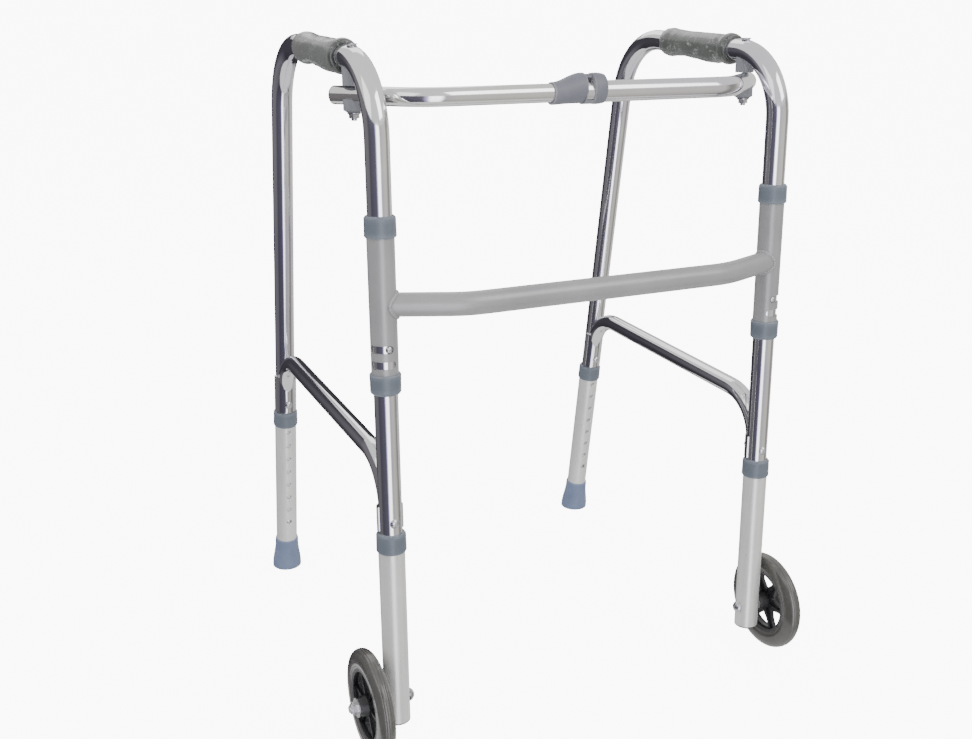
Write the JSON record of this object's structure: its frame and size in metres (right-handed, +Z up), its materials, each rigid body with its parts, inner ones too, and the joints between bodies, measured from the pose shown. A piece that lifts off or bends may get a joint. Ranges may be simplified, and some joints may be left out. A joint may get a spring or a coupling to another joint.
{
  "type": "folding walking frame",
  "caption": "Folding walking frame of bent tube: hinged side frames on a welded H centre, telescoping locking crossbar, height-adjustable legs, front wheels and rear rubber tips.",
  "frame": {"origin": "on the floor, under the centre of the bounding box", "axes": "+Z up; +Y from the front wheels towards the user; +X across the frame. The side named left is at -X, on the left as seen from in front of the wheels' end with +Y pointing away"},
  "size_m": [0.5988, 0.5337, 0.7682],
  "materials": {
    "frame_paint": "light grey satin powder coat",
    "polished_tube": "polished and clear anodised",
    "satin_tube": "satin anodised",
    "chrome": "bright chrome plate",
    "zinc": "zinc plated",
    "spring_steel": "plain spring steel",
    "collar_plastic": "blue-grey, fine texture",
    "grey_plastic": "mid grey, moulded",
    "lock_plastic": "mid grey, fine texture",
    "button_plastic": "dull purple-grey",
    "black_plastic": "black, moulded",
    "grip": "soft dark grey vinyl",
    "tip_rubber": "blue-grey rubber",
    "tyre": "grey polyurethane, smooth"
  },
  "bodies": {
    "h_frame": {"left_sleeve": "frame_paint", "left_sleeve_collars": "collar_plastic", "right_sleeve": "frame_paint", "right_sleeve_collars": "collar_plastic", "cross_tube": "frame_paint"},
    "left_frame": {"left_side_tube": "polished_tube", "left_brace": "chrome", "left_brace_bolts": "zinc", "left_stop_screw": "zinc", "left_grip": "grip", "left_leg_springs": "spring_steel", "left_pivot_spacer": "grey_plastic"},
    "right_frame": {"right_side_tube": "polished_tube", "right_brace": "chrome", "right_brace_bolts": "zinc", "right_stop_screw": "zinc", "right_grip": "grip", "right_leg_springs": "spring_steel", "right_pivot_spacer": "grey_plastic", "right_pivot_screw": "zinc"},
    "left_pivot": {"left_pivot_bolt": "zinc", "left_pivot_nut": "zinc"},
    "left_bar": {"left_bar": "polished_tube", "left_bar_saddle": "grey_plastic", "left_bar_plug": "black_plastic"},
    "bar_spring": {"bar_snap_spring": "spring_steel"},
    "lock_pin": {"bar_snap_pin": "chrome"},
    "right_bar": {"right_bar": "polished_tube", "right_bar_saddle": "grey_plastic", "right_bar_plug": "black_plastic", "lock_housing": "lock_plastic", "right_pivot_stud": "zinc", "right_pivot_nut": "zinc"},
    "release_button": {"release_button": "button_plastic"},
    "left_front_leg": {"left_front_leg": "satin_tube", "left_front_leg_collar": "collar_plastic", "left_front_leg_plug": "black_plastic", "left_axle_bolt": "zinc", "left_axle_sleeve": "zinc", "left_axle_nut": "zinc"},
    "left_rear_leg": {"left_rear_leg": "satin_tube", "left_rear_leg_collar": "collar_plastic", "left_rubber_tip": "tip_rubber"},
    "left_wheel": {"left_wheel_hub": "black_plastic", "left_tyre": "tyre"},
    "left_front_button": {"left_front_snap_button": "chrome"},
    "left_rear_button": {"left_rear_snap_button": "chrome"},
    "right_front_leg": {"right_front_leg": "satin_tube", "right_front_leg_collar": "collar_plastic", "right_front_leg_plug": "black_plastic", "right_axle_bolt": "zinc", "right_axle_sleeve": "zinc", "right_axle_nut": "zinc"},
    "right_rear_leg": {"right_rear_leg": "satin_tube", "right_rear_leg_collar": "collar_plastic", "right_rubber_tip": "tip_rubber"},
    "right_wheel": {"right_wheel_hub": "black_plastic", "right_tyre": "tyre"},
    "right_front_button": {"right_front_snap_button": "chrome"},
    "right_rear_button": {"right_rear_snap_button": "chrome"}
  },
  "joints": [
    {"name": "left_fold", "type": "hinge", "parent": "h_frame", "child": "left_frame", "pos_m": [-0.243, -0.17766, 0.5], "axis": [0, -0.0609, -0.9981], "range_deg": [0, 78]},
    {"name": "right_fold", "type": "hinge", "parent": "h_frame", "child": "right_frame", "pos_m": [0.243, -0.17766, 0.5], "axis": [0, 0.0609, 0.9981], "range_deg": [0, 38]},
    {"name": "left_pivot_turn", "type": "hinge", "parent": "left_frame", "child": "left_pivot", "pos_m": [-0.243, -0.09766, 0.75], "axis": [0, 0.0609, 0.9981], "range_deg": [0, 85.5]},
    {"name": "left_bar_turn", "type": "hinge", "parent": "left_pivot", "child": "left_bar", "pos_m": [-0.243, -0.09766, 0.75], "axis": [0, 0.0609, 0.9981], "range_deg": [-2.2, 0.3]},
    {"name": "bar_spring_slide", "type": "slide", "parent": "left_bar", "child": "bar_spring", "axis": [-1, 0, 0], "range_m": [0, 0.0615]},
    {"name": "right_bar_slide", "type": "slide", "parent": "bar_spring", "child": "right_bar", "axis": [-1, 0, 0], "range_m": [0, 0.0425]},
    {"name": "release_button_slide", "type": "slide", "parent": "right_bar", "child": "release_button", "axis": [0, -0.9981, 0.0609], "range_m": [0, 0.003], "stiffness_N_per_m": 300, "springref_m": -0.002},
    {"name": "lock_pin_slide", "type": "slide", "parent": "left_bar", "child": "lock_pin", "axis": [0, -0.9981, 0.0609], "range_m": [0, 0.0031]},
    {"name": "left_front_leg_slide", "type": "slide", "parent": "left_frame", "child": "left_front_leg", "axis": [0, -0.0609, -0.9981], "range_m": [0, 0.147]},
    {"name": "left_rear_leg_slide", "type": "slide", "parent": "left_frame", "child": "left_rear_leg", "axis": [0, 0.1162, -0.9932], "range_m": [0, 0.147]},
    {"name": "left_wheel_spin", "type": "hinge", "parent": "left_front_leg", "child": "left_wheel", "pos_m": [-0.274, -0.20435, 0.0625], "axis": [1, 0, 0], "continuous": true},
    {"name": "left_front_button_press", "type": "slide", "parent": "left_frame", "child": "left_front_button", "axis": [0, -0.9981, 0.0609], "range_m": [0, 0.0035], "stiffness_N_per_m": 400, "springref_m": -0.002},
    {"name": "left_rear_button_press", "type": "slide", "parent": "left_frame", "child": "left_rear_button", "axis": [0, 0.9932, 0.1162], "range_m": [0, 0.0035], "stiffness_N_per_m": 400, "springref_m": -0.002},
    {"name": "right_front_leg_slide", "type": "slide", "parent": "right_frame", "child": "right_front_leg", "axis": [0, -0.0609, -0.9981], "range_m": [0, 0.147]},
    {"name": "right_rear_leg_slide", "type": "slide", "parent": "right_frame", "child": "right_rear_leg", "axis": [0, 0.1162, -0.9932], "range_m": [0, 0.147]},
    {"name": "right_wheel_spin", "type": "hinge", "parent": "right_front_leg", "child": "right_wheel", "pos_m": [0.274, -0.20435, 0.0625], "axis": [1, 0, 0], "continuous": true},
    {"name": "right_front_button_press", "type": "slide", "parent": "right_frame", "child": "right_front_button", "axis": [0, -0.9981, 0.0609], "range_m": [0, 0.0035], "stiffness_N_per_m": 400, "springref_m": -0.002},
    {"name": "right_rear_button_press", "type": "slide", "parent": "right_frame", "child": "right_rear_button", "axis": [0, 0.9932, 0.1162], "range_m": [0, 0.0035], "stiffness_N_per_m": 400, "springref_m": -0.002}
  ],
  "couplings": [
    {"joint": "left_pivot_turn", "follows": "left_fold", "ratio": 1.0885},
    {"joint": "left_bar_turn", "follows": "right_fold", "ratio": -0.0463},
    {"joint": "bar_spring_slide", "follows": "left_fold", "m_per_rad": 0.04466},
    {"joint": "right_bar_slide", "follows": "right_fold", "m_per_rad": 0.05968},
    {"joint": "lock_pin_slide", "follows": "release_button_slide", "ratio": 1}
  ]
}
